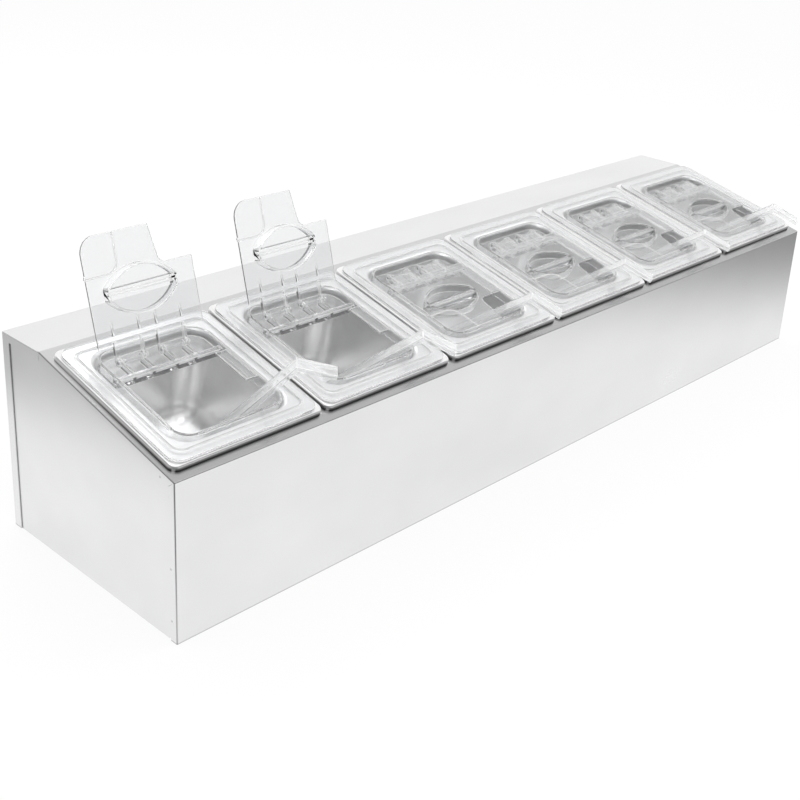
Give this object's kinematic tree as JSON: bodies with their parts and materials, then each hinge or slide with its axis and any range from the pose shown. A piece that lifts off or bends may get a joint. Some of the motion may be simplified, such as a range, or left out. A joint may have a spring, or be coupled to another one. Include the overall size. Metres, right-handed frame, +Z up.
{
  "type": "condiment caddy",
  "caption": "Long sloping steel housing with a row of drop-in pans, each under a clear notched lid with a hinged flap, a finger grip and a bent-handled ladle.",
  "frame": {"origin": "on the floor, in the middle of the hem under the front panel", "axes": "+X along the housing to the right as seen from the front, +Y to the back, +Z up; the sloping deck faces -Y"},
  "size_m": [1, 0.2624, 0.2988],
  "materials": {
    "housing_steel": "satin stainless sheet",
    "pan_steel": "drawn satin stainless",
    "clear_lid": "clear moulded plastic",
    "clear_pin": "clear moulded plastic",
    "clear_flap": "clear moulded plastic",
    "clear_ladle": "clear moulded plastic"
  },
  "bodies": {
    "housing": {"front_and_deck": "housing_steel", "back_panel": "housing_steel", "left_end_panel": "housing_steel", "right_end_panel": "housing_steel"},
    "pan_1_body": {"pan_1": "pan_steel"},
    "lid_1_body": {"lid_frame_1": "clear_lid", "hinge_pins_1": "clear_pin"},
    "flap_1_body": {"flip_lid_1": "clear_flap"},
    "ladle_1_body": {"ladle_1": "clear_ladle"},
    "pan_2_body": {"pan_2": "pan_steel"},
    "lid_2_body": {"lid_frame_2": "clear_lid", "hinge_pins_2": "clear_pin"},
    "flap_2_body": {"flip_lid_2": "clear_flap"},
    "ladle_2_body": {"ladle_2": "clear_ladle"},
    "pan_3_body": {"pan_3": "pan_steel"},
    "lid_3_body": {"lid_frame_3": "clear_lid", "hinge_pins_3": "clear_pin"},
    "flap_3_body": {"flip_lid_3": "clear_flap"},
    "ladle_3_body": {"ladle_3": "clear_ladle"},
    "pan_4_body": {"pan_4": "pan_steel"},
    "lid_4_body": {"lid_frame_4": "clear_lid", "hinge_pins_4": "clear_pin"},
    "flap_4_body": {"flip_lid_4": "clear_flap"},
    "ladle_4_body": {"ladle_4": "clear_ladle"},
    "pan_5_body": {"pan_5": "pan_steel"},
    "lid_5_body": {"lid_frame_5": "clear_lid", "hinge_pins_5": "clear_pin"},
    "flap_5_body": {"flip_lid_5": "clear_flap"},
    "ladle_5_body": {"ladle_5": "clear_ladle"},
    "pan_6_body": {"pan_6": "pan_steel"},
    "lid_6_body": {"lid_frame_6": "clear_lid", "hinge_pins_6": "clear_pin"},
    "flap_6_body": {"flip_lid_6": "clear_flap"},
    "ladle_6_body": {"ladle_6": "clear_ladle"}
  },
  "joints": [
    {"name": "pan_1_lift", "type": "slide", "parent": "housing", "child": "pan_1_body", "axis": [0, -0.2353, 0.9719], "range_m": [0, 0.12]},
    {"name": "lid_1_lift", "type": "slide", "parent": "pan_1_body", "child": "lid_1_body", "axis": [0, -0.2353, 0.9719], "range_m": [0, 0.11]},
    {"name": "flap_1_hinge", "type": "hinge", "parent": "lid_1_body", "child": "flap_1_body", "pos_m": [-0.4125, 0.1347, 0.19131], "axis": [-1, 0, 0], "range_deg": [-119, 0]},
    {"name": "ladle_1_draw", "type": "slide", "parent": "lid_1_body", "child": "ladle_1_body", "axis": [0.419, -0.5544, 0.7191], "range_m": [0, 0.05]},
    {"name": "pan_2_lift", "type": "slide", "parent": "housing", "child": "pan_2_body", "axis": [0, -0.2353, 0.9719], "range_m": [0, 0.12]},
    {"name": "lid_2_lift", "type": "slide", "parent": "pan_2_body", "child": "lid_2_body", "axis": [0, -0.2353, 0.9719], "range_m": [0, 0.11]},
    {"name": "flap_2_hinge", "type": "hinge", "parent": "lid_2_body", "child": "flap_2_body", "pos_m": [-0.2471, 0.1347, 0.19131], "axis": [-1, 0, 0], "range_deg": [-119, 0]},
    {"name": "ladle_2_draw", "type": "slide", "parent": "lid_2_body", "child": "ladle_2_body", "axis": [0.4812, -0.6581, 0.5791], "range_m": [0, 0.05]},
    {"name": "pan_3_lift", "type": "slide", "parent": "housing", "child": "pan_3_body", "axis": [0, -0.2353, 0.9719], "range_m": [0, 0.12]},
    {"name": "lid_3_lift", "type": "slide", "parent": "pan_3_body", "child": "lid_3_body", "axis": [0, -0.2353, 0.9719], "range_m": [0, 0.11]},
    {"name": "flap_3_hinge", "type": "hinge", "parent": "lid_3_body", "child": "flap_3_body", "pos_m": [-0.0817, 0.1347, 0.19131], "axis": [-1, 0, 0], "range_deg": [0, 119]},
    {"name": "ladle_3_draw", "type": "slide", "parent": "lid_3_body", "child": "ladle_3_body", "axis": [0.3874, -0.7417, 0.5476], "range_m": [0, 0.05]},
    {"name": "pan_4_lift", "type": "slide", "parent": "housing", "child": "pan_4_body", "axis": [0, -0.2353, 0.9719], "range_m": [0, 0.12]},
    {"name": "lid_4_lift", "type": "slide", "parent": "pan_4_body", "child": "lid_4_body", "axis": [0, -0.2353, 0.9719], "range_m": [0, 0.11]},
    {"name": "flap_4_hinge", "type": "hinge", "parent": "lid_4_body", "child": "flap_4_body", "pos_m": [0.0837, 0.1347, 0.19131], "axis": [-1, 0, 0], "range_deg": [0, 119]},
    {"name": "ladle_4_draw", "type": "slide", "parent": "lid_4_body", "child": "ladle_4_body", "axis": [0.3874, -0.7417, 0.5476], "range_m": [0, 0.05]},
    {"name": "pan_5_lift", "type": "slide", "parent": "housing", "child": "pan_5_body", "axis": [0, -0.2353, 0.9719], "range_m": [0, 0.12]},
    {"name": "lid_5_lift", "type": "slide", "parent": "pan_5_body", "child": "lid_5_body", "axis": [0, -0.2353, 0.9719], "range_m": [0, 0.11]},
    {"name": "flap_5_hinge", "type": "hinge", "parent": "lid_5_body", "child": "flap_5_body", "pos_m": [0.2491, 0.1347, 0.19131], "axis": [-1, 0, 0], "range_deg": [0, 119]},
    {"name": "ladle_5_draw", "type": "slide", "parent": "lid_5_body", "child": "ladle_5_body", "axis": [0.3874, -0.7417, 0.5476], "range_m": [0, 0.05]},
    {"name": "pan_6_lift", "type": "slide", "parent": "housing", "child": "pan_6_body", "axis": [0, -0.2353, 0.9719], "range_m": [0, 0.12]},
    {"name": "lid_6_lift", "type": "slide", "parent": "pan_6_body", "child": "lid_6_body", "axis": [0, -0.2353, 0.9719], "range_m": [0, 0.11]},
    {"name": "flap_6_hinge", "type": "hinge", "parent": "lid_6_body", "child": "flap_6_body", "pos_m": [0.4145, 0.1347, 0.19131], "axis": [-1, 0, 0], "range_deg": [0, 119]},
    {"name": "ladle_6_draw", "type": "slide", "parent": "lid_6_body", "child": "ladle_6_body", "axis": [0.3874, -0.7417, 0.5476], "range_m": [0, 0.05]}
  ]
}
